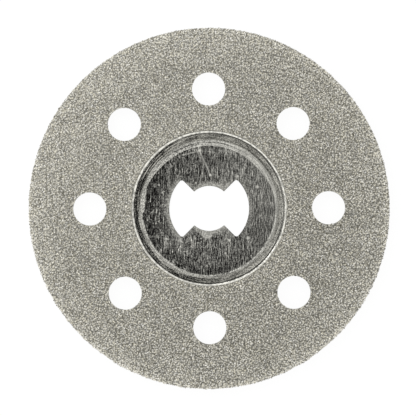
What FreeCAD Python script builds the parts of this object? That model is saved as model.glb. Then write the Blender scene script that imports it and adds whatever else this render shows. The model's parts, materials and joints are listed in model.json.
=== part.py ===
import FreeCAD, Part

import math
import os

# A thin steel disc plated with diamond grit, for cutting tile and stone on a small
# rotary tool. The centre of the sheet is pressed down into a shallow bare hub, whose
# floor has a bow-tie opening that drops over the head of a quick-lock arbor and is
# then turned a quarter turn. Eight round holes let air and dust through.
#
# Frame: the axis of the disc is Z, and +Z is the open side of the pressed hub. The
# origin is on the axis, in the plane of the hub's back face, on which the disc lies.
# The wings of the bow-tie point along X.

# Driving dimensions, in millimetres and degrees
CUTTING_DIAMETER = 38.0  # to the mean level of the grit on the rim
SHEET = 0.4  # steel, the same all over

FACE_GRIT = 0.1  # plated layer on each face, to the mean level of its grains
RIM_GRIT = 0.12  # plated layer round the rim
HOLE_GRIT = 0.06  # plating that lines the round holes
RIM_BEVEL = 0.15  # the plating is worn and built up slanting at the rim's two corners
MASK_SLOPE = 50.0  # how steeply the plating ends at the masked hub, from the face

HUB_MOUTH_DIAMETER = 16.1  # where face and wall would meet if they were sharp
HUB_WALL_RUN = 0.9  # how far the sloping wall comes in towards the axis
HUB_DEPTH = 1.05  # from the sheet's front face down to the floor
LIP_RADIUS = 0.25  # front, where the face turns down into the wall
ROOT_RADIUS = 0.45  # front, where the wall meets the floor
BACK_ROOT_RADIUS = 0.15  # back, in the corner between the boss and the face

FRONT_BARE_LAND = 0.02  # bare steel between the lip's curve and the plating
BACK_BARE_LAND = 0.45  # bare steel round the boss, masked while plating

VENT_COUNT = 8
VENT_DIAMETER = 3.5  # open diameter, inside the plating
VENT_CIRCLE_DIAMETER = 25.18

WAIST_DIAMETER = 4.76  # round middle of the bow-tie, over the arbor's neck
WING_DIAMETER = 8.44  # across the tips of the wings
WING_ANGLE = 90.0  # between the two straight edges of one wing
WING_GAP = 0.42  # between those edges where they would pass the axis
WING_TIP_RADIUS = 0.3
PUNCH_ROLL = 0.07  # the punch draws the front edge of the opening in

# Heights, worked out from the above
FLOOR_BACK = 0.0
FLOOR_FRONT = FLOOR_BACK + SHEET
FACE_FRONT = FLOOR_FRONT + HUB_DEPTH
FACE_BACK = FACE_FRONT - SHEET
GRIT_FRONT = FACE_FRONT + FACE_GRIT
GRIT_BACK = FACE_BACK - FACE_GRIT

# Radii and the wall's slope, worked out from the above
RIM = CUTTING_DIAMETER / 2
SHEET_RIM = RIM - RIM_GRIT
MOUTH = HUB_MOUTH_DIAMETER / 2
FLOOR = MOUTH - HUB_WALL_RUN
HALF_SLOPE = math.atan2(HUB_DEPTH, HUB_WALL_RUN) / 2
BACK_SHIFT = SHEET * math.tan(HALF_SLOPE)  # the back's corners stand this much further out
GRIT_START_FRONT = MOUTH + LIP_RADIUS * math.tan(HALF_SLOPE) + FRONT_BARE_LAND
GRIT_START_BACK = MOUTH + BACK_SHIFT + BACK_ROOT_RADIUS * math.tan(HALF_SLOPE) + BACK_BARE_LAND
GRIT_TAPER = FACE_GRIT / math.tan(math.radians(MASK_SLOPE))
VENT = VENT_DIAMETER / 2
SHEET_VENT = VENT + HOLE_GRIT

UP = FreeCAD.Vector(0, 0, 1)
AXIS_POINT = FreeCAD.Vector(0, 0, 0)
TINY = 1e-4


def rounded(before, point, after, radius):
    """The tangent points and the middle of the arc that rounds one corner."""
    back = (before - point).normalize()
    on = (after - point).normalize()
    half = back.getAngle(on) / 2
    reach = radius / math.tan(half)
    inward = (back + on).normalize()
    middle = point + inward * (radius / math.sin(half) - radius)
    return point + back * reach, middle, point + on * reach


def turned(corners):
    """The solid that an outline of (r, z, rounding radius) corners sweeps round the axis."""
    points = [FreeCAD.Vector(r, 0, z) for r, z, _ in corners]
    edges = []
    stretches = []
    for i, (_, _, radius) in enumerate(corners):
        start = end = points[i]
        if radius > 0:
            following = points[(i + 1) % len(points)]
            start, middle, end = rounded(points[i - 1], points[i], following, radius)
            edges.append(Part.Arc(start, middle, end).toShape())
        stretches.append((start, end))
    for i, (_, end) in enumerate(stretches):
        start = stretches[(i + 1) % len(stretches)][0]
        edges.append(Part.LineSegment(end, start).toShape())
    outline = Part.Wire(Part.sortEdges(edges)[0])
    return Part.Face(outline).revolve(AXIS_POINT, UP, 360)


def pegs_at_vents(radius, low, high):
    """One cylinder in each of the round holes, the first of them on +Y."""
    pegs = []
    for k in range(VENT_COUNT):
        turn = math.radians(90 + 360 / VENT_COUNT * k)
        centre = FreeCAD.Vector(math.cos(turn), math.sin(turn), 0) * (VENT_CIRCLE_DIAMETER / 2)
        centre.z = low
        pegs.append(Part.makeCylinder(radius, high - low, centre, UP))
    return pegs


def upright_edges(shape, radius, reach):
    """The straight edges along Z that stand within reach of a distance from the axis."""
    found = []
    for edge in shape.Edges:
        low, high = edge.Vertexes[0].Point, edge.Vertexes[-1].Point
        upright = math.hypot(high.x - low.x, high.y - low.y) < TINY < abs(high.z - low.z)
        if upright and abs(math.hypot(low.x, low.y) - radius) < reach:
            found.append(edge)
    return found


def bow_tie_punch(low, high):
    """The punch for the arbor opening: a round waist and two wings with rounded tips."""
    height = high - low
    far = WING_DIAMETER
    half_gap = WING_GAP / 2
    spread = half_gap + far * math.tan(math.radians(WING_ANGLE / 2))
    right = [(0, half_gap), (far, spread), (far, -spread), (0, -half_gap)]
    left = [(-far, -spread), (-far, spread)]
    points = [FreeCAD.Vector(x, y, low) for x, y in right + left]
    flanks = Part.Face(Part.makePolygon(points + points[:1])).extrude(UP * height)
    foot = FreeCAD.Vector(0, 0, low)
    wings = flanks.common(Part.makeCylinder(WING_DIAMETER / 2, height, foot, UP))
    punch = wings.fuse(Part.makeCylinder(WAIST_DIAMETER / 2, height, foot, UP)).removeSplitter()
    tips = upright_edges(punch, WING_DIAMETER / 2, WING_TIP_RADIUS / 2)
    return punch.makeFillet(WING_TIP_RADIUS, tips)


def opening_edges(shape, height):
    """The edges of the arbor opening that lie in the plane at one height."""
    found = []
    for edge in shape.Edges:
        box = edge.BoundBox
        level = abs(box.ZMin - height) < TINY and abs(box.ZMax - height) < TINY
        reach = max(box.XMax, -box.XMin, box.YMax, -box.YMin)
        if level and reach < WING_DIAMETER / 2 + TINY:
            found.append(edge)
    return found


def steel_blank():
    """The pressed sheet, punched for the arbor and for the round holes."""
    front = [
        (0, FLOOR_FRONT, 0),
        (FLOOR, FLOOR_FRONT, ROOT_RADIUS),
        (MOUTH, FACE_FRONT, LIP_RADIUS),
        (SHEET_RIM, FACE_FRONT, 0),
    ]
    back = [
        (SHEET_RIM, FACE_BACK, 0),
        (MOUTH + BACK_SHIFT, FACE_BACK, BACK_ROOT_RADIUS),
        (FLOOR + BACK_SHIFT, FLOOR_BACK, ROOT_RADIUS + SHEET),
        (0, FLOOR_BACK, 0),
    ]
    blank = turned(front + back)
    blank = blank.cut(bow_tie_punch(FLOOR_BACK - SHEET, FLOOR_FRONT + SHEET))
    blank = blank.makeChamfer(PUNCH_ROLL, opening_edges(blank, FLOOR_FRONT))
    for peg in pegs_at_vents(SHEET_VENT, FACE_BACK - SHEET, FACE_FRONT + SHEET):
        blank = blank.cut(peg)
    return blank


def grit_coating():
    """The plated layer: both faces, the rim and the walls of the round holes."""
    inside = [
        (GRIT_START_BACK, FACE_BACK, 0),
        (SHEET_RIM, FACE_BACK, 0),
        (SHEET_RIM, FACE_FRONT, 0),
        (GRIT_START_FRONT, FACE_FRONT, 0),
    ]
    outside = [
        (GRIT_START_FRONT + GRIT_TAPER, GRIT_FRONT, 0),
        (RIM - RIM_BEVEL, GRIT_FRONT, 0),
        (RIM, GRIT_FRONT - RIM_BEVEL, 0),
        (RIM, GRIT_BACK + RIM_BEVEL, 0),
        (RIM - RIM_BEVEL, GRIT_BACK, 0),
        (GRIT_START_BACK + GRIT_TAPER, GRIT_BACK, 0),
    ]
    layer = turned(inside + outside)
    for sleeve in pegs_at_vents(SHEET_VENT, GRIT_BACK, GRIT_FRONT):
        layer = layer.fuse(sleeve)
    for peg in pegs_at_vents(VENT, GRIT_BACK - SHEET, GRIT_FRONT + SHEET):
        layer = layer.cut(peg)
    return layer.removeSplitter()


def main():
    os.makedirs("parts", exist_ok=True)
    for name, make in (("steel_blank", steel_blank), ("grit_coating", grit_coating)):
        shape = make()
        solid = shape.Solids[0] if len(shape.Solids) == 1 else shape
        solid.exportStep(os.path.join("parts", name + ".step"))
        box = solid.optimalBoundingBox()
        print(
            f"{name}: {len(shape.Solids)} solid, valid {solid.isValid()}, {solid.Volume:.2f} mm3, "
            f"{box.XLength:.2f} x {box.YLength:.2f} x {box.ZLength:.2f} mm"
        )


main()
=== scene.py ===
import json
import math

import bpy
from bpy.props import FloatProperty, FloatVectorProperty, IntProperty, PointerProperty
from bpy.types import Operator, Panel, PropertyGroup
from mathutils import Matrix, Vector

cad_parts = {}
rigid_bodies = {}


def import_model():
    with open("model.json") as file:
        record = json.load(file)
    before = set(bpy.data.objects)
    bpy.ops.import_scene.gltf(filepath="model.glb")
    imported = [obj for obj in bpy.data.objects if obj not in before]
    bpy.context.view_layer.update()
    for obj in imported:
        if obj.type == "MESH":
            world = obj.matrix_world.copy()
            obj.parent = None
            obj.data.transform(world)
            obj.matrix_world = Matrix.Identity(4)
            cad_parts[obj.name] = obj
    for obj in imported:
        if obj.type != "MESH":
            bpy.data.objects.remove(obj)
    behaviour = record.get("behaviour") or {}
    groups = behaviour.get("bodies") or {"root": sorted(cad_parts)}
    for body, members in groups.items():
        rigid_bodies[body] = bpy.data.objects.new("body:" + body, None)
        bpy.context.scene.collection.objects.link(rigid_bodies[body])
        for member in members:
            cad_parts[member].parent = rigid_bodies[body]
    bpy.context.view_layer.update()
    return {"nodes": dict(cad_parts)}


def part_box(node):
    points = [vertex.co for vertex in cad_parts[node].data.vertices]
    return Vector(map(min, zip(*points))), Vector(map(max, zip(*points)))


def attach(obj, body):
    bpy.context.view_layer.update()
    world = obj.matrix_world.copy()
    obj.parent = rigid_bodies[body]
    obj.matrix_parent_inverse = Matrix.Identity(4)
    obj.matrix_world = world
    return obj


bl_info = {
    "name": "Diamond Cutting Disc",
    "version": (1, 0, 0),
    "blender": (4, 5, 0),
    "location": "3D View > Sidebar > Cutting Disc",
    "description": "Finishes the disc's steel and diamond plating, and sets its lamp and camera",
    "category": "Object",
}

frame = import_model()

MM = 0.001
TINY = 1e-6
# Even steps to the eye are steps of this power in light.
EYE = 2.2
# Marks per millimetre in the mottling of the plating
SPECKLE = 8.5
CELLS = 10.0
PEBBLES = 5.0

BLANK_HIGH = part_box("steel_blank")[1]
GRIT_LOW, GRIT_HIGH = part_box("grit_coating")
RIM = GRIT_HIGH.x
SHEET_RIM = BLANK_HIGH.x
SHEET_FRONT = BLANK_HIGH.z
SHEET_BACK = GRIT_LOW.z + (GRIT_HIGH.z - BLANK_HIGH.z)

# Sizes of the part, in millimetres
RIM_BEVEL = 0.15
WALL_RUN = 0.9
HUB_DEPTH = 1.05
SHEET = 0.4
# Round holes: how many, their radius and the radius of the circle that they lie on
VENT_COUNT = 8
VENT = 1.75
VENT_CIRCLE = 12.59
# Radii from the plating's inner edge inwards
GRIT_START = 8.28
LIP = 8.175
LIP_CREST = 8.07
MID_WALL = 7.5
WALL_FOOT = 7.15
WING = 4.22
WAIST = 2.38
# Radii between which markings of the hub lie, and the line of painted shade under the lip
# (DARK_LINE)
DARK_LINE = (7.87, 7.93)
WALL_LINE = (7.28, 7.33)
WALL_START = (7.27, 7.36)
BAND_START = 6.99
FLOOR_REACH = 7.0
# Clumps of grit on the rim, and patches of painted highlight on its grains, are full below the
# first of these places along Y and gone above the second.
PATCHY_Y = (-12.0, 4.0)

# Width of the picture that the camera is set for, in pixels
PICTURE = 416


class Value:
    """The output of a node. Arithmetic on it adds Math nodes to the same tree."""

    def __init__(self, nodes, node, output):
        self.nodes = nodes
        self.node = node
        self.socket = node.outputs[output] if node.outputs else None

    def also(self, output):
        """Another output of the same node."""
        return Value(self.nodes, self.node, output)

    def math(self, operation, *others):
        return self.nodes.add("ShaderNodeMath", {"operation": operation}, [self, *others])

    def turned_math(self, operation, other):
        return self.nodes.add("ShaderNodeMath", {"operation": operation}, [other, self])

    def __add__(self, other):
        return self.math("ADD", other)

    def __sub__(self, other):
        return self.math("SUBTRACT", other)

    def __mul__(self, other):
        return self.math("MULTIPLY", other)

    def __truediv__(self, other):
        return self.math("DIVIDE", other)

    def __pow__(self, other):
        return self.math("POWER", other)

    def __gt__(self, other):
        return self.math("GREATER_THAN", other)

    def __lt__(self, other):
        return self.math("LESS_THAN", other)

    def __radd__(self, other):
        return self.turned_math("ADD", other)

    def __rsub__(self, other):
        return self.turned_math("SUBTRACT", other)

    def __rmul__(self, other):
        return self.turned_math("MULTIPLY", other)

    def __rtruediv__(self, other):
        return self.turned_math("DIVIDE", other)


class Nodes:
    """A node tree in the making, for a material, the world or a modifier."""

    def __init__(self, tree):
        self.tree = tree

    def add(self, kind, settings=None, inputs=(), output=0):
        """One node. Its settings are set first, then the values or links of its sockets.

        A socket goes by its number where the node has several of one name.
        """
        node = self.tree.nodes.new(kind)
        for name, value in (settings or {}).items():
            setattr(node, name, value)
        named = inputs.items() if isinstance(inputs, dict) else enumerate(inputs)
        for key, value in named:
            if isinstance(value, Value):
                self.tree.links.new(value.socket, node.inputs[key])
            else:
                node.inputs[key].default_value = value
        return Value(self, node, output)

    def join(self, x, y, z=0.0):
        return self.add("ShaderNodeCombineXYZ", None, [x, y, z])

    def split(self, vector):
        parts = self.add("ShaderNodeSeparateXYZ", None, [vector])
        return parts, parts.also(1), parts.also(2)

    def ramp(self, value, low, high):
        """Rises smoothly from 0 at low to 1 at high."""
        return self.add(
            "ShaderNodeMapRange",
            {"interpolation_type": "SMOOTHSTEP"},
            {"Value": value, "From Min": low, "From Max": high},
        )

    def band(self, value, low, high, soft):
        """1 between low and high, and 0 past a soft margin outside them."""
        return self.ramp(value, low - soft, low) * (1 - self.ramp(value, high, high + soft))

    def noise(self, vector, scale, detail, roughness=0.5):
        return self.add(
            "ShaderNodeTexNoise",
            {"normalize": True},
            {"Vector": vector, "Scale": scale, "Detail": detail, "Roughness": roughness},
        )

    def mix(self, factor, a, b):
        """A number between a and b."""
        return self.add("ShaderNodeMix", {"data_type": "FLOAT"}, {0: factor, 2: a, 3: b})

    def tint(self, factor, a, b):
        """A colour between a and b."""
        return self.add(
            "ShaderNodeMix", {"data_type": "RGBA"}, {0: factor, 6: a, 7: b}, output=2
        )


def rgba(colour):
    """A colour setting as the four numbers that a socket takes."""
    return (*colour[:3], 1.0)


def new_material(name):
    """An empty material and its nodes."""
    material = bpy.data.materials.new(name)
    material.use_nodes = True
    material.node_tree.nodes.clear()
    return material, Nodes(material.node_tree)


def output(nodes, shader):
    nodes.add("ShaderNodeOutputMaterial", None, {"Surface": shader})


def speckle(nodes, place):
    """Fine salt and pepper, from 0 to 1; place is in millimetres."""
    return nodes.ramp(nodes.noise(place, SPECKLE, 0.0), 0.4, 0.6)


def pebbles(nodes, across, along):
    """Painted light and shade: close-packed pale tops, one apart, with dark gaps between them, from
    0 to 1.
    """
    gap = nodes.add(
        "ShaderNodeTexVoronoi",
        {"voronoi_dimensions": "2D"},
        {"Vector": nodes.join(across, along), "Scale": 1.0, "Randomness": 1.0},
    )
    return 1 - nodes.ramp(gap, 0.15, 0.6)


def from_vent(x, y, circle):
    """Distance from the middle of the nearest round hole; circle is the radius that they lie on."""
    step = 2 * math.pi / VENT_COUNT
    near = (y.math("ARCTAN2", x) / step).math("ROUND") * step
    across, up = x - near.math("COSINE") * circle, y - near.math("SINE") * circle
    return (across * across + up * up).math("SQRT")


def plating_colour(nodes, tint, dark, pale):
    """Mottled from dark to pale, with painted light and shade, paler at the rim, the hub and the
    holes. tint is from 0 to 1.
    """
    place = place_in_mm(nodes)
    x, y, z = nodes.split(place)
    r = (x * x + y * y).math("SQRT")
    # Painted light on the grains' tops and painted shade in the gaps between them
    tops = pebbles(nodes, (x + z) * PEBBLES, (y + z * 0.7) * PEBBLES)
    cell, hue, _ = nodes.split(
        nodes.add("ShaderNodeTexVoronoi", None, {"Vector": place, "Scale": CELLS}, output="Color")
    )
    drift = nodes.noise(place, 0.9, 2.0) - 0.5
    grainy = tops * 0.45 + speckle(nodes, place) * 0.3 + cell * 0.38 + tint * 0.18 - 0.6
    # Towards -X and +Y, where the lamp stands, the plating is a little more even and, by painted
    # light, a little paler.
    slant = (y - x) / r
    shade = grainy * (1.08 - slant * 0.07) + slant * 0.012 + 0.51
    towards_rim = nodes.ramp(r, 13.5, 18.5)
    by_hub = 1 - nodes.ramp(r, 8.7, 9.7)
    by_hole = 1 - nodes.ramp(from_vent(x, y, VENT_CIRCLE), VENT + 0.08, VENT + 0.35)
    shade = shade + drift * 0.3 + towards_rim * 0.07 + by_hub * 0.04 + by_hole * 0.05
    # The rim is paler, most of all towards +X and -Y, and towards -Y its grains carry patches of
    # painted highlight.
    rubbed = nodes.ramp(r, 18.2, 18.9) * (0.1 - slant * 0.03)
    patchy = nodes.ramp(nodes.noise(place, 1.6, 1.0), 0.5, 0.6) * (1 - nodes.ramp(y, *PATCHY_Y))
    shade = shade + rubbed + patchy * nodes.ramp(r, 18.7, 18.95) * 0.3
    shade = nodes.add("ShaderNodeClamp", None, [shade, 0.0, 1.0])
    cast = nodes.tint(hue, (1.0, 0.98, 0.865, 1), (0.965, 0.985, 1.0, 1))
    return nodes.add(
        "ShaderNodeMix",
        {"data_type": "RGBA", "blend_type": "MULTIPLY"},
        {0: 1.0, 6: nodes.tint(shade**EYE, rgba(dark), rgba(pale)), 7: cast},
        output=2,
    )


def wear(thing, material):
    """Gives the whole piece one material."""
    thing.data.materials.clear()
    thing.data.materials.append(material)


def place_in_mm(nodes):
    """Object coordinates in millimetres."""
    metres = nodes.add("ShaderNodeTexCoord", output="Object")
    return nodes.add("ShaderNodeVectorMath", {"operation": "SCALE"}, {0: metres, "Scale": 1 / MM})


class DiscGrit(PropertyGroup):
    """The plating and its grains."""

    grain: FloatProperty(
        name="Grain",
        description="Mean radius of a grain",
        default=0.1 * MM,
        unit="LENGTH",
    )
    spacing: FloatProperty(
        name="Spacing",
        description="Least distance between grains",
        default=0.17 * MM,
        unit="LENGTH",
    )
    proud: FloatProperty(
        name="Proud",
        description="How far grains stand out of the faces",
        default=0.05 * MM,
        unit="LENGTH",
    )
    rim_proud: FloatProperty(
        name="Rim proud",
        description="How far grains stand out of the rim",
        default=0.067 * MM,
        unit="LENGTH",
    )
    clump: FloatProperty(
        name="Clump",
        description="How much further clumps stand out of the rim",
        default=0.072 * MM,
        unit="LENGTH",
    )
    seed: IntProperty(name="Seed", description="Seed of the scatter", default=7)
    pale: FloatVectorProperty(
        name="Pale grain",
        description="Lightest grains",
        default=(1.0, 0.975, 0.945),
        subtype="COLOR",
    )
    dark: FloatVectorProperty(
        name="Dark grain",
        description="Darkest grains",
        default=(0.0887, 0.0794, 0.053),
        subtype="COLOR",
    )
    bond: FloatVectorProperty(
        name="Bond",
        description="Nickel between the grains",
        default=(0.75, 0.725, 0.66),
        subtype="COLOR",
    )


class DiscSteel(PropertyGroup):
    """The bare pressed hub."""

    steel: FloatVectorProperty(
        name="Steel",
        description="Bare steel at its brightest",
        default=(1.0, 0.985, 0.9),
        subtype="COLOR",
    )


class DiscStage(PropertyGroup):
    """The floor, the lamp and the camera."""

    floor_size: FloatProperty(
        name="Floor",
        description="Side of the floor",
        default=4.0,
        unit="LENGTH",
    )
    key_power: FloatProperty(
        name="Key lamp",
        description="Power of the lamp over the disc",
        default=0.035,
        unit="POWER",
    )
    lens: FloatProperty(
        name="Lens",
        description="Focal length in millimetres",
        default=400.0,
        unit="CAMERA",
    )
    frame_width: FloatProperty(
        name="Frame",
        description="Width that the camera takes in",
        default=43.85 * MM,
        unit="LENGTH",
    )


def grain_shape(name, sides, taper, cuts):
    """One grain of radius 1: a stub of a cone. Each cut has a direction and a distance."""
    bpy.ops.object.select_all(action="DESELECT")
    bpy.ops.mesh.primitive_cone_add(vertices=sides, radius1=1, radius2=taper, depth=1.5)
    grain = bpy.context.object
    grain.name = name
    bpy.ops.object.mode_set(mode="EDIT")
    for normal, distance in cuts:
        across = Vector(normal).normalized()
        bpy.ops.mesh.select_all(action="SELECT")
        bpy.ops.mesh.bisect(
            plane_co=across * distance, plane_no=across, use_fill=True, clear_outer=True
        )
    bpy.ops.mesh.select_all(action="SELECT")
    bpy.ops.mesh.normals_make_consistent(inside=False)
    bpy.ops.mesh.quads_convert_to_tris()
    bpy.ops.object.mode_set(mode="OBJECT")
    return grain


def grain_shapes():
    """The few shapes that all the grains are copies of."""
    shapes = [
        grain_shape("grain_block", sides=4, taper=0.85, cuts=[((1, 0.3, 1), 0.75)]),
        grain_shape("grain_wedge", sides=5, taper=0.6, cuts=[((-1, 0.2, 0.8), 0.8)]),
        grain_shape("grain_stub", sides=6, taper=0.7, cuts=[]),
        grain_shape(
            "grain_chip", sides=4, taper=0.6, cuts=[((0.2, 1, -0.8), 0.7), ((-1, -0.4, 1), 0.8)]
        ),
    ]
    kept = bpy.data.collections.new("grains")
    for shape in shapes:
        for home in list(shape.users_collection):
            home.objects.unlink(shape)
        kept.objects.link(shape)
    return kept


def scatter_tree(name, grains, settings, zone, proud, clump):
    """A modifier that scatters grains where zone(x, y, z, r) is above 0."""
    tree = bpy.data.node_groups.new(name, "GeometryNodeTree")
    tree.is_modifier = True
    for way in ("INPUT", "OUTPUT"):
        tree.interface.new_socket("Geometry", in_out=way, socket_type="NodeSocketGeometry")
    nodes = Nodes(tree)
    bond = nodes.add("NodeGroupInput")
    position = nodes.add("GeometryNodeInputPosition")
    x, y, z = nodes.split(position)
    r = (x * x + y * y).math("SQRT")
    # The faces that lie on the sheet are left out, so that no grain is spaced off them.
    open_faces = (z > SHEET_FRONT + TINY) + (z < SHEET_BACK - TINY) + (r > SHEET_RIM + TINY)
    skin = nodes.add(
        "GeometryNodeSeparateGeometry",
        {"domain": "FACE"},
        {"Geometry": bond, "Selection": open_faces},
    )
    # Points are tried more closely than grains lie, so that their least distance sets how many.
    tries = 3.0 / settings.spacing**2
    points = nodes.add(
        "GeometryNodeDistributePointsOnFaces",
        {"distribute_method": "POISSON"},
        {
            "Mesh": skin,
            "Distance Min": settings.spacing,
            "Density Max": tries,
            "Seed": settings.seed,
        },
    )
    normal = points.also("Normal")

    def chance(low, high, seed):
        return nodes.add(
            "FunctionNodeRandomValue",
            {"data_type": "FLOAT"},
            {2: low, 3: high, "Seed": seed},
            output=1,
        )

    full = 2 * math.pi
    turn = nodes.add(
        "FunctionNodeRandomValue",
        {"data_type": "FLOAT_VECTOR"},
        {0: (0, 0, 0), 1: (full, full, full), "Seed": settings.seed + 1},
    )
    pick = nodes.add(
        "FunctionNodeRandomValue",
        {"data_type": "INT"},
        {4: 0, 5: len(grains.objects) - 1, "Seed": settings.seed + 2},
        output=2,
    )
    deep, shallow = settings.grain * 1.2, settings.grain * 0.85
    sunk = chance(proud - deep, proud - shallow, 3)
    # Clumps stand out most towards -Y.
    side = 1 - nodes.ramp(y, PATCHY_Y[0] * MM, PATCHY_Y[1] * MM)
    clumps = nodes.ramp(nodes.noise(position, 1.4 / MM, 1.0), 0.5, 0.62)
    sunk = sunk + clumps * side * clump
    offset = nodes.add(
        "ShaderNodeVectorMath", {"operation": "SCALE"}, {0: normal, "Scale": sunk}
    )
    chosen = nodes.add(
        "GeometryNodeSeparateGeometry",
        {"domain": "POINT"},
        {"Geometry": points, "Selection": zone(x, y, z, r)},
    )
    moved = nodes.add("GeometryNodeSetPosition", None, {"Geometry": chosen, "Offset": offset})
    smallest, largest = settings.grain * 0.8, settings.grain * 1.2
    shapes = nodes.add(
        "GeometryNodeCollectionInfo",
        None,
        {"Collection": grains, "Separate Children": True, "Reset Children": True},
    )
    placed = nodes.add(
        "GeometryNodeInstanceOnPoints",
        None,
        {
            "Points": moved,
            "Instance": shapes,
            "Pick Instance": True,
            "Instance Index": pick,
            "Rotation": turn,
            "Scale": chance(smallest, largest, 4),
        },
    )
    tinted = nodes.add(
        "GeometryNodeStoreNamedAttribute",
        {"data_type": "FLOAT", "domain": "INSTANCE"},
        {"Geometry": placed, "Name": "tint", "Value": chance(0.0, 1.0, 5)},
    )
    real = nodes.add("GeometryNodeRealizeInstances", None, {"Geometry": tinted})
    nodes.add("NodeGroupOutput", None, {0: real})
    return tree


def grit_zones(settings):
    """The pieces that the grit is made in, with the part of the surface that each one covers."""
    flat = RIM - RIM_BEVEL * MM
    half = math.sqrt((flat**2 + (GRIT_START * MM) ** 2) / 2)
    edge = settings.grain * 0.6

    def on_face(front, inner, outer):
        def zone(x, y, z, r):
            side = z > GRIT_HIGH.z - TINY if front else z < GRIT_LOW.z + TINY
            ring = (r > inner).math("MULTIPLY", r < outer)
            clear = from_vent(x, y, VENT_CIRCLE * MM) > VENT * MM + edge
            return side.math("MULTIPLY", ring).math("MULTIPLY", clear)

        return zone

    def on_rim(x, y, z, r):
        return r > flat - TINY

    start = GRIT_START * MM + edge
    return {
        "grit_front_inner": on_face(True, start, half),
        "grit_front_outer": on_face(True, half, flat),
        "grit_back_inner": on_face(False, start, half),
        "grit_back_outer": on_face(False, half, flat),
        "grit_rim": on_rim,
    }


def scattered(name, grains, settings, zone):
    """One piece of grit: a copy of the plating that the modifier turns into grains."""
    bpy.ops.object.select_all(action="DESELECT")
    plating = frame["nodes"]["grit_coating"]
    piece = bpy.data.objects.new(name, plating.data.copy())
    bpy.context.scene.collection.objects.link(piece)
    bpy.context.view_layer.objects.active = piece
    piece.select_set(True)
    modifier = piece.modifiers.new("scatter", "NODES")
    on_rim = name == "grit_rim"
    proud, clump = (settings.rim_proud, settings.clump) if on_rim else (settings.proud, 0.0)
    modifier.node_group = scatter_tree(name, grains, settings, zone, proud, clump)
    bpy.ops.object.modifier_apply(modifier=modifier.name)
    return piece


def grain_material(settings):
    """The grains' colour: each one has its own tint."""
    material, nodes = new_material("diamond grains")
    tint = nodes.add(
        "ShaderNodeAttribute",
        {"attribute_name": "tint", "attribute_type": "GEOMETRY"},
        output="Fac",
    )
    colour = plating_colour(nodes, tint, settings.dark, settings.pale)
    shader = nodes.add(
        "ShaderNodeBsdfPrincipled",
        None,
        {"Base Color": colour, "Metallic": 0.15, "Roughness": 0.5},
    )
    output(nodes, shader)
    return material


class DISC_OT_grit(Operator):
    """Scatters the diamond grains over both faces and the rim"""

    bl_idname = "disc.grit"
    bl_label = "Scatter Grit"

    def execute(self, context):
        settings = context.scene.disc_grit
        grains = grain_shapes()
        material = grain_material(settings)
        for name, zone in grit_zones(settings).items():
            piece = scattered(name, grains, settings, zone)
            wear(piece, material)
            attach(piece, "root")
        for shape in list(grains.objects):
            bpy.data.objects.remove(shape)
        bpy.data.collections.remove(grains)
        return {"FINISHED"}


class DISC_OT_plating(Operator):
    """Finishes the nickel bond between the grains"""

    bl_idname = "disc.plating"
    bl_label = "Finish Plating"

    def execute(self, context):
        settings = context.scene.disc_grit
        material, nodes = new_material("nickel bond")
        place = place_in_mm(nodes)
        lumps = nodes.noise(place, SPECKLE, 3.0, 0.7)
        # Painted shade: its hollows are a fifth as bright as its tops.
        dark = tuple(0.2 * c for c in settings.bond)
        colour = plating_colour(nodes, lumps, dark, settings.bond)
        bump = nodes.add(
            "ShaderNodeBump", None, {"Strength": 0.6, "Distance": 0.03 * MM, "Height": lumps}
        )
        shader = nodes.add(
            "ShaderNodeBsdfPrincipled",
            None,
            {
                "Base Color": colour,
                "Metallic": 0.6,
                "Roughness": nodes.mix(lumps, 0.38, 0.62),
                "Normal": bump,
            },
        )
        output(nodes, shader)
        wear(frame["nodes"]["grit_coating"], material)
        return {"FINISHED"}


def shade_of(level):
    """A level on the 0 to 255 scale of a picture as a shade from 0 to 1."""
    return level / 255


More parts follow.
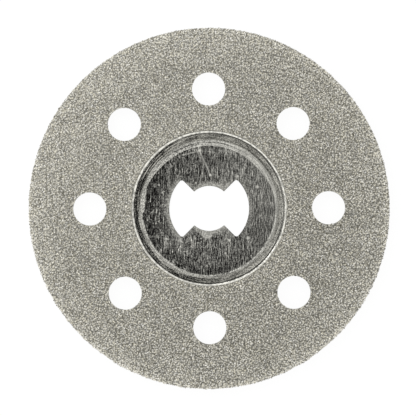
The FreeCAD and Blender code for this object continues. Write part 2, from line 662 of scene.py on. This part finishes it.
class Hub:
    """The markings of the pressed hub, with light and shade painted among them, as shades over the
    plane of the disc.
    """

    def __init__(self, nodes):
        self.nodes = nodes
        self.place = place_in_mm(nodes)
        self.x, self.y, self.z = nodes.split(self.place)
        self.r = (self.x * self.x + self.y * self.y).math("SQRT")
        self.cosine = self.x / self.r
        self.sine = self.y / self.r
        self.speck = speckle(nodes, self.place)
        self.cross = self.sine * self.cosine * 2
        self.ragged = nodes.noise(nodes.join(self.cosine, self.sine), 7.0, 4.0, 0.7) - 0.5
        off_crest = (self.r + self.ragged * 0.05 - LIP_CREST).math("ABSOLUTE")
        self.on_front = self.front_face()
        # Painted highlight: the bright line on the lip, wider towards -X.
        widened = off_crest - self.toward(165) * 0.03
        self.lip = (1 - nodes.ramp(widened, 0.045, 0.09)) * self.on_front

    def toward(self, degrees):
        """1 on the side that faces a bearing off +X, falling to -1 on the far side."""
        turn = math.radians(degrees)
        return self.cosine * math.cos(turn) + self.sine * math.sin(turn)

    def sector(self, degrees, half):
        """1 at a bearing, fading to 0 at half degrees to each side of it."""
        return self.nodes.ramp(self.toward(degrees), math.cos(math.radians(half)), 1.0)

    def streaks(self, degrees, width, length, low=0.38, high=0.62):
        """Scratches along a bearing, from 0 to 1, with a width and a length in millimetres."""
        turn = math.radians(degrees)
        along = self.x * math.cos(turn) + self.y * math.sin(turn)
        across = self.y * math.cos(turn) - self.x * math.sin(turn)
        drift = self.nodes.join(across / width, along / length, degrees)
        return self.nodes.ramp(self.nodes.noise(drift, 1.0, 0.0), low, high)

    def circles(self, width, length, seed=0.0):
        """Marks that run round the axis, with a width and a length in millimetres."""
        reach = MID_WALL / length
        ring = self.nodes.join(self.cosine * reach, self.sine * reach, self.r / width + seed)
        return self.nodes.ramp(self.nodes.noise(ring, 1.0, 1.0), 0.36, 0.64)

    def away(self, x, y):
        """Distance from a point in the plane."""
        off_x, off_y = self.x - x, self.y - y
        return (off_x * off_x + off_y * off_y).math("SQRT")

    def spot(self, x, y, radius, soft):
        """1 within a radius of a point, fading out over a soft edge."""
        return 1 - self.nodes.ramp(self.away(x, y), radius - soft, radius)

    def line(self, start, end, width):
        """1 on a straight scratch, fading out at its edges."""
        dx, dy = end[0] - start[0], end[1] - start[1]
        along = ((self.x - start[0]) * dx + (self.y - start[1]) * dy) / (dx * dx + dy * dy)
        held = self.nodes.add("ShaderNodeClamp", None, [along, 0.0, 1.0])
        off = self.away(start[0] + held * dx, start[1] + held * dy)
        return 1 - self.nodes.ramp(off, width * 0.3, width)

    def arc(self, radius, degrees, half):
        """1 on a fine scratch round the axis that fades out half degrees off a bearing."""
        ring = self.nodes.band(self.r, radius - 0.03, radius + 0.03, 0.04)
        return ring * self.sector(degrees, half).math("SQRT")

    def floor(self):
        """Dark steel with fine scratches along Y, with painted light and shade: lighter towards +X
        and darkest at its edge towards -X and -Y.
        """
        nodes = self.nodes
        brush = self.streaks(90, 0.05, 0.7, 0.42, 0.58) - 0.5
        hairs = self.streaks(88, 0.06, 2.6, 0.6, 0.68)
        cross = self.streaks(58, 0.07, 1.5, 0.62, 0.7)
        cloud = nodes.noise(self.place, 0.55, 2.0) - 0.5
        side = self.x / FLOOR_REACH
        calm = 1 - side * 0.25
        rough = calm + self.sector(280, 60) * 0.4 + self.sector(48, 35) * 0.2
        waver = nodes.noise(nodes.join(self.x / 0.5, self.y), 1.0, 1.0) * 14
        spacing = 0.22
        comb = (self.x * (2 * math.pi / spacing) + waver).math("SINE")
        rubbed = (self.speck - 0.5) * shade_of(44) + brush * shade_of(60) + cloud * shade_of(22)
        rubbed = rubbed + comb * (shade_of(20) + side * shade_of(12))
        # Scratches, with painted glints at pits
        marks = hairs * shade_of(66) + cross * shade_of(32) + self.glitter() * shade_of(80)
        marks = marks + self.curls() * shade_of(60)
        # Painted light and shade: the floor's level changes with bearing, with a painted reflection
        # growing towards +X and painted shade at its edge towards -X and -Y
        edge = nodes.ramp(self.r, 5.4, 6.6) * nodes.ramp(self.toward(215), -0.2, 0.6)
        level = shade_of(81) + side * shade_of(21) + self.cross * shade_of(11)
        level = level - edge * shade_of(26) - self.sector(178, 50) * shade_of(7)
        level = level - (self.sector(268, 40) + self.sector(92, 35)) * shade_of(6)
        return level + rubbed * rough + marks * calm

    def glitter(self):
        """Painted glints at small pits, most of them towards -X."""
        pit = self.nodes.add("ShaderNodeTexVoronoi", None, {"Vector": self.place, "Scale": 3.4})
        lucky, _, _ = self.nodes.split(pit.also("Color"))
        share = self.nodes.ramp(self.x, -6.5, 1.0) * 0.2 + 0.72
        return (1 - self.nodes.ramp(pit, 0.12, 0.3)) * (lucky > share)

    def curls(self):
        """Thin curling scratches, most of them towards -X."""
        nodes = self.nodes
        swirl = (nodes.noise(self.place, 1.1, 1.0) - 0.5).math("ABSOLUTE")
        patches = nodes.ramp(nodes.noise(nodes.join(self.y, self.x), 0.9, 0.0), 0.46, 0.56)
        left = 1 - nodes.ramp(self.x, -2.0, 4.0)
        return (1 - nodes.ramp(swirl, 0.008, 0.028)) * patches * left

    def wall(self):
        """The drawn wall, striped round the axis, with painted light and shade by bearing: darkest
        towards -X, under the lip.
        """
        nodes = self.nodes
        stripes = self.circles(0.1, 1.6)
        pale = (
            self.arc(7.66, 133, 24) * 0.3
            + self.arc(7.42, 128, 30) * 0.4
            + self.arc(7.69, 120, 8) * 0.5
            + self.arc(7.68, 149, 9) * 0.6
            + self.arc(7.43, 138, 9) * 0.6
            + self.arc(7.69, 163, 16) * 0.25
            + self.arc(7.35, 172, 12) * 0.2
        )
        black = (
            self.arc(7.31, 143, 17) * 0.7
            + self.arc(7.54, 145, 24)
            + self.arc(7.79, 135, 30) * 0.35
            + self.arc(7.9, 310, 35)
            + self.arc(7.46, 261, 15) * 1.2
        )

        def above(low, high):
            return nodes.ramp(self.r, low, high)

        # Painted light and shade: the wall's level changes with bearing, lighter towards +X and
        # darkest towards -X under the lip, as the lamp falls on it
        middle = shade_of(162) + self.toward(25) * shade_of(20)
        middle = middle + self.sector(305, 35) * shade_of(15)
        middle = middle - self.sector(190, 75) * above(7.4, 7.7) * shade_of(68)
        middle = middle + self.sector(225, 60) * (1 - above(7.35, 7.65)) * shade_of(105)
        middle = middle - self.sector(35, 35) * nodes.band(self.r, 7.3, 7.42, 0.06) * shade_of(35)
        middle = middle - self.sector(262, 20) * above(7.38, 7.46) * shade_of(42)
        middle = middle + self.sector(283, 25) * (1 - above(7.32, 7.4)) * shade_of(24)
        middle = middle + pale * shade_of(170) - black * shade_of(70)
        contrast = shade_of(62) + self.sector(185, 115) * shade_of(73)
        grain = shade_of(85) + self.sector(200, 110) * shade_of(45)
        return middle + (stripes - 0.5) * contrast + (self.speck - 0.5) * grain

    def patchy(self):
        """Where the foot of the wall is rubbed matt."""
        return self.sector(225, 60) * self.nodes.band(self.r, 7.25, 7.45, 0.1) * 0.7

    def band(self):
        """The pale matt band where the wall turns into the floor; its paleness is partly painted
        light gathered in the bend.
        """
        nodes = self.nodes
        rings = self.circles(0.12, 2.5, seed=57.0)
        # Painted light: the band is brightest towards a bearing of 140 degrees, where the lamp
        # stands
        middle = shade_of(173) + self.toward(140) * shade_of(22) + self.cross * shade_of(18)
        middle = middle - self.sector(92, 25) * shade_of(8)
        groove = nodes.band(self.r, 6.93, 7.0, 0.05) * self.sector(100, 50) * shade_of(50)
        grain = shade_of(80) - self.sector(15, 100) * shade_of(45)
        return middle - groove + (rings - 0.5) * shade_of(40) + (self.speck - 0.5) * grain

    def halo(self):
        """Paler steel round the punched opening."""
        nodes = self.nodes
        wide, tall = self.x.math("ABSOLUTE"), self.y.math("ABSOLUTE")
        around = nodes.ramp(self.toward(185), -0.2, 0.6) * 0.8 + self.sector(0, 22) * 0.5 + 0.2
        beside = 1 - nodes.ramp(self.r, WING + 0.05, WING + 0.75)
        beside = beside * nodes.ramp(wide, 2.6, 3.4) * around
        slant = 1 - nodes.ramp(tall - wide, 0.35, 1.1)
        slant = slant * (1 - nodes.ramp(self.r, 3.2, 4.3)) * 0.6
        waist = (1 - nodes.ramp(self.r, WAIST, WAIST + 0.8)) * 1.1
        return beside.math("MAXIMUM", slant).math("MAXIMUM", waist)

    def marks(self):
        """Scuffs, a round dab by the waist and broad scratches, paler than the floor."""
        dab = self.spot(-0.22, -2.72, 0.62, 0.14) * 0.9
        lines = (
            self.line((-1.05, 6.5), (-0.9, 5.0), 0.22) * 0.45
            + self.line((-0.6, 5.1), (-0.95, 2.5), 0.13) * 0.35
            + self.line((-2.75, 5.67), (-1.05, 6.05), 0.13) * 0.75
            + self.line((-4.4, 4.5), (-4.2, 2.2), 0.3) * 0.3
            + self.line((1.0, 6.1), (2.3, 6.0), 0.16) * 0.45
        )
        scuffs = (
            self.spot(1.5, 2.6, 0.8, 0.6) * 0.4
            + self.spot(1.15, 2.3, 0.32, 0.24) * 0.45
            + self.spot(0.55, 2.5, 0.25, 0.2) * 0.35
            + self.spot(-0.5, -5.1, 0.7, 0.6) * 0.45
            + self.spot(1.7, -2.9, 1.1, 0.8) * 0.3
            + self.spot(3.8, -3.0, 0.55, 0.5) * 0.4
        )
        return dab + lines + scuffs

    def nicks(self):
        """Bright scratches and points."""
        points = (
            self.spot(5.1, 2.25, 0.3, 0.25)
            + self.spot(3.0, 3.4, 0.24, 0.2)
            + self.spot(4.1, -3.15, 0.26, 0.2)
            + self.spot(1.7, -4.75, 0.22, 0.18)
            + self.spot(2.1, -3.4, 0.2, 0.16)
            + self.spot(-5.3, 2.5, 0.2, 0.16)
            + self.spot(-4.95, 1.7, 0.18, 0.14)
            + self.spot(0.12, 3.5, 0.22, 0.18)
            + self.spot(-1.4, 2.7, 0.18, 0.15)
            + self.spot(-0.95, 6.15, 0.22, 0.18)
        )
        lines = (
            self.line((-1.02, 6.15), (0.14, 3.55), 0.12) * 0.55
            + self.line((-1.85, 7.95), (-1.4, 7.0), 0.1) * 0.4
            + self.line((-6.3, -2.9), (-3.0, -3.4), 0.1) * 0.3
            + self.line((-2.4, 4.6), (-1.2, 3.9), 0.1) * 0.3
        )
        return points * 0.8 + lines

    def front_face(self):
        """1 on the front face of the pressed sheet and 0 on its back."""
        nodes = self.nodes
        climb = nodes.add("ShaderNodeClamp", None, [(self.r - WALL_FOOT) / WALL_RUN, 0.0, 1.0])
        below = climb * HUB_DEPTH + SHEET - self.z
        return 1 - nodes.ramp(below, SHEET * 0.35, SHEET * 0.65)

    def back(self):
        """Plain rubbed steel, for the side that lies on the bench."""
        cloud = self.nodes.noise(self.place, 0.7, 3.0) - 0.5
        brush = self.streaks(35, 0.06, 1.4, 0.4, 0.6) - 0.5
        rings = (self.circles(0.13, 2.2, seed=31.0) - 0.5) * self.nodes.ramp(self.r, 6.8, 7.4)
        rubbed = (self.speck - 0.5) * shade_of(40) + brush * shade_of(36) + rings * shade_of(50)
        return shade_of(128) + cloud * shade_of(60) + rubbed

    def shade(self):
        """The whole sheet: the marked front, with its painted light and shade, and the plain back.
        """
        return self.nodes.mix(self.on_front, self.back(), self.front())

    def front(self):
        """The zones of the front, from the opening out to the lip, with painted shade under the lip
        and a painted highlight on it.
        """
        nodes = self.nodes
        # The band reaches further in towards +Y, and juts in and out near -X.
        faint, full = math.cos(math.radians(80)), math.cos(math.radians(38))
        widening = nodes.ramp(self.toward(87), faint, full)
        edge = BAND_START - widening * 0.38 - self.sector(176, 15) * 0.2
        edge = edge + self.sector(186, 5) * 0.17
        edge = edge + self.sector(235, 70) * 0.07 + self.ragged * 0.14
        on_band = nodes.ramp(self.r - edge, -0.05, 0.05)
        foot = self.r + self.ragged * 0.1 - self.sector(222, 50) * 0.17
        on_wall = nodes.ramp(foot, *WALL_START)
        pale = (self.halo() * 0.8 + self.marks()).math("MINIMUM", 1.0)
        shade = nodes.mix(pale, self.floor(), shade_of(174) + (self.speck - 0.5) * shade_of(45))
        shade = nodes.mix(on_band, shade, self.band())
        shade = nodes.mix(on_wall, shade, self.wall())
        shade = nodes.mix(self.nicks().math("MINIMUM", 1.0), shade, shade_of(215))
        wall_line = nodes.band(self.r, *WALL_LINE, 0.05) * self.circles(0.5, 4.0, seed=5.0)
        foot_line = nodes.band(self.r - edge, 0.02, 0.08, 0.05) * self.circles(0.5, 4.0, seed=12.0)
        foot_line = foot_line * (1 - self.sector(310, 70)) * 0.5
        shade = nodes.mix(wall_line * 0.7 + foot_line, shade, shade_of(190))
        # Painted shade: a dark line just inside the lip, deeper at some bearings than at others
        depth = 0.5 - self.sector(135, 35) * 0.33 - self.sector(182, 34) * 0.45
        depth = depth - self.sector(2, 28) * 0.2
        depth = depth + self.sector(316, 40) * 0.5 + self.sector(47, 35) * 0.25
        dark_line = nodes.band(self.r, *DARK_LINE, 0.05) * depth
        shade = nodes.mix(dark_line, shade, shade_of(70))
        # The bare land between the lip and the plating, paler towards a bearing of 300 degrees with
        # the lip's painted highlight spreading onto it
        land = nodes.ramp(self.r, LIP - 0.08, LIP)
        shade = nodes.mix(land, shade, shade_of(185) + self.toward(300) * shade_of(14))
        # Painted highlight on the lip, brighter at some bearings and broken into beads
        glint = shade_of(226) + self.toward(95) * shade_of(11) + self.sector(45, 30) * shade_of(24)
        glint = glint + self.sector(135, 30) * shade_of(26) - self.sector(180, 35) * shade_of(14)
        glint = glint - self.sector(332, 50) * shade_of(17)
        beads = self.circles(0.3, 0.35, seed=90.0) - 0.5
        glint = glint + beads * (shade_of(85) + self.toward(85) * shade_of(38))
        return nodes.mix(self.lip, shade, glint).math("MAXIMUM", shade_of(18))


class DISC_OT_steel(Operator):
    """Finishes the bare steel of the hub and of the back"""

    bl_idname = "disc.steel"
    bl_label = "Finish Steel"

    def execute(self, context):
        settings = context.scene.disc_steel
        material, nodes = new_material("brushed steel")
        hub = Hub(nodes)
        shade = hub.shade()
        colour = nodes.tint(shade**EYE, (0, 0, 0, 1), rgba(settings.steel))
        brushed = hub.streaks(90, 0.05, 0.7)
        bump = nodes.add(
            "ShaderNodeBump",
            None,
            {"Strength": 0.4, "Distance": 0.002 * MM, "Height": hub.speck + brushed},
        )
        matt = hub.patchy()
        shader = nodes.add(
            "ShaderNodeBsdfPrincipled",
            None,
            {
                "Base Color": colour,
                # Where the lip's highlight is painted, and on the rubbed matt foot, the steel is
                # less metallic
                "Metallic": nodes.mix(hub.lip.math("MAXIMUM", matt), 1.0, 0.4),
                "Roughness": nodes.mix(brushed, 0.36, 0.48) + matt * 0.12,
                "Normal": bump,
            },
        )
        output(nodes, shader)
        wear(frame["nodes"]["steel_blank"], material)
        return {"FINISHED"}


def area_lamp(name, azimuth, elevation, distance, size, power):
    """A square lamp that faces the disc from a bearing off +X and a height above the floor."""
    turn, rise = math.radians(azimuth), math.radians(elevation)
    out = math.cos(rise)
    where = distance * Vector((math.cos(turn) * out, math.sin(turn) * out, math.sin(rise)))
    bpy.ops.object.light_add(type="AREA", location=where)
    lamp = bpy.context.object
    lamp.name = name
    lamp.data.size = size
    lamp.data.energy = power
    lamp.rotation_euler = (-where).to_track_quat("-Z", "Y").to_euler()


def shown_white(nodes):
    """1 where the camera, a gloss or a glass looks straight at a surface."""
    path = nodes.add("ShaderNodeLightPath", output="Is Camera Ray")
    seen = path.math("MAXIMUM", path.also("Is Glossy Ray"))
    return seen.math("MAXIMUM", path.also("Is Transmission Ray"))


def floor_material():
    """White paper that shows white to the camera and still takes a soft shadow."""
    material, nodes = new_material("white paper")
    paper = nodes.add("ShaderNodeBsdfDiffuse", None, {"Color": (0.85, 0.85, 0.85, 1)})
    glow = nodes.add("ShaderNodeEmission", None, {"Color": (1, 1, 1, 1), "Strength": 1.03})
    # The rest of what is seen is the paper itself, with the disc's shadow on it.
    share = 0.92
    shader = nodes.add("ShaderNodeMixShader", None, [shown_white(nodes) * share, paper, glow])
    output(nodes, shader)
    return material


def studio_world():
    """Studio walls, brighter towards -X, that the camera and the steel see as white."""
    world = bpy.data.worlds.new("studio")
    world.use_nodes = True
    world.node_tree.nodes.clear()
    nodes = Nodes(world.node_tree)
    x, y, height = nodes.split(nodes.add("ShaderNodeTexCoord", output="Generated"))
    dim, bright, overhead, white = 0.8, 1.5, 1.1, 1.0
    walls = nodes.mix(nodes.ramp(x * -0.9 + y * 0.2, -0.8, 0.8), dim, bright)
    glow = nodes.mix(nodes.ramp(height, 0.45, 0.9), walls, overhead)
    shown = nodes.mix(shown_white(nodes), glow, white)
    shader = nodes.add("ShaderNodeBackground", None, {"Strength": shown})
    nodes.add("ShaderNodeOutputWorld", None, {"Surface": shader})
    bpy.context.scene.world = world


def add_camera(settings):
    """Looks straight down, with the disc a little right of and below the frame's middle."""
    pixel = settings.frame_width / PICTURE
    aside, below = 1.18 * pixel, 0.38 * pixel
    turned = math.radians(-0.3)
    bpy.ops.object.camera_add()
    camera = bpy.context.object
    camera.name = "camera"
    camera.data.lens = settings.lens
    camera.data.clip_start = 0.01
    distance = settings.frame_width * settings.lens / camera.data.sensor_width
    camera.location = (-aside, below, GRIT_HIGH.z + distance)
    camera.rotation_euler = (0, 0, turned)
    bpy.context.scene.camera = camera


class DISC_OT_stage(Operator):
    """Lays the floor and sets up the lamp, the world and the camera"""

    bl_idname = "disc.stage"
    bl_label = "Set the Stage"

    def execute(self, context):
        settings = context.scene.disc_stage
        bpy.ops.object.select_all(action="DESELECT")
        just_under = (0, 0, -0.01 * MM)
        bpy.ops.mesh.primitive_plane_add(size=settings.floor_size, location=just_under)
        floor = bpy.context.object
        floor.name = "floor"
        bpy.ops.object.transform_apply(location=True, rotation=False, scale=False)
        wear(floor, floor_material())
        area_lamp("key", 140, 48, distance=0.11, size=0.08, power=settings.key_power)
        studio_world()
        add_camera(settings)
        context.scene.view_settings.view_transform = "Standard"
        return {"FINISHED"}


class DISC_PT_panel(Panel):
    """The disc's pieces and settings"""

    bl_label = "Cutting Disc"
    bl_space_type = "VIEW_3D"
    bl_region_type = "UI"
    bl_category = "Cutting Disc"

    def draw(self, context):
        scene = context.scene
        for settings in (scene.disc_grit, scene.disc_steel, scene.disc_stage):
            box = self.layout.box()
            for name in settings.__annotations__:
                box.prop(settings, name)
        for operator in OPERATORS:
            self.layout.operator(operator.bl_idname)


SETTINGS = {"disc_grit": DiscGrit, "disc_steel": DiscSteel, "disc_stage": DiscStage}
OPERATORS = (DISC_OT_steel, DISC_OT_plating, DISC_OT_grit, DISC_OT_stage)


def register():
    for kind in (*SETTINGS.values(), *OPERATORS, DISC_PT_panel):
        bpy.utils.register_class(kind)
    for name, kind in SETTINGS.items():
        setattr(bpy.types.Scene, name, PointerProperty(type=kind))


def unregister():
    for name in SETTINGS:
        delattr(bpy.types.Scene, name)
    for kind in (DISC_PT_panel, *reversed(OPERATORS), *reversed(SETTINGS.values())):
        bpy.utils.unregister_class(kind)


def main():
    register()
    bpy.ops.disc.steel()
    bpy.ops.disc.plating()
    bpy.ops.disc.grit()
    bpy.ops.disc.stage()


if __name__ == "__main__":
    main()
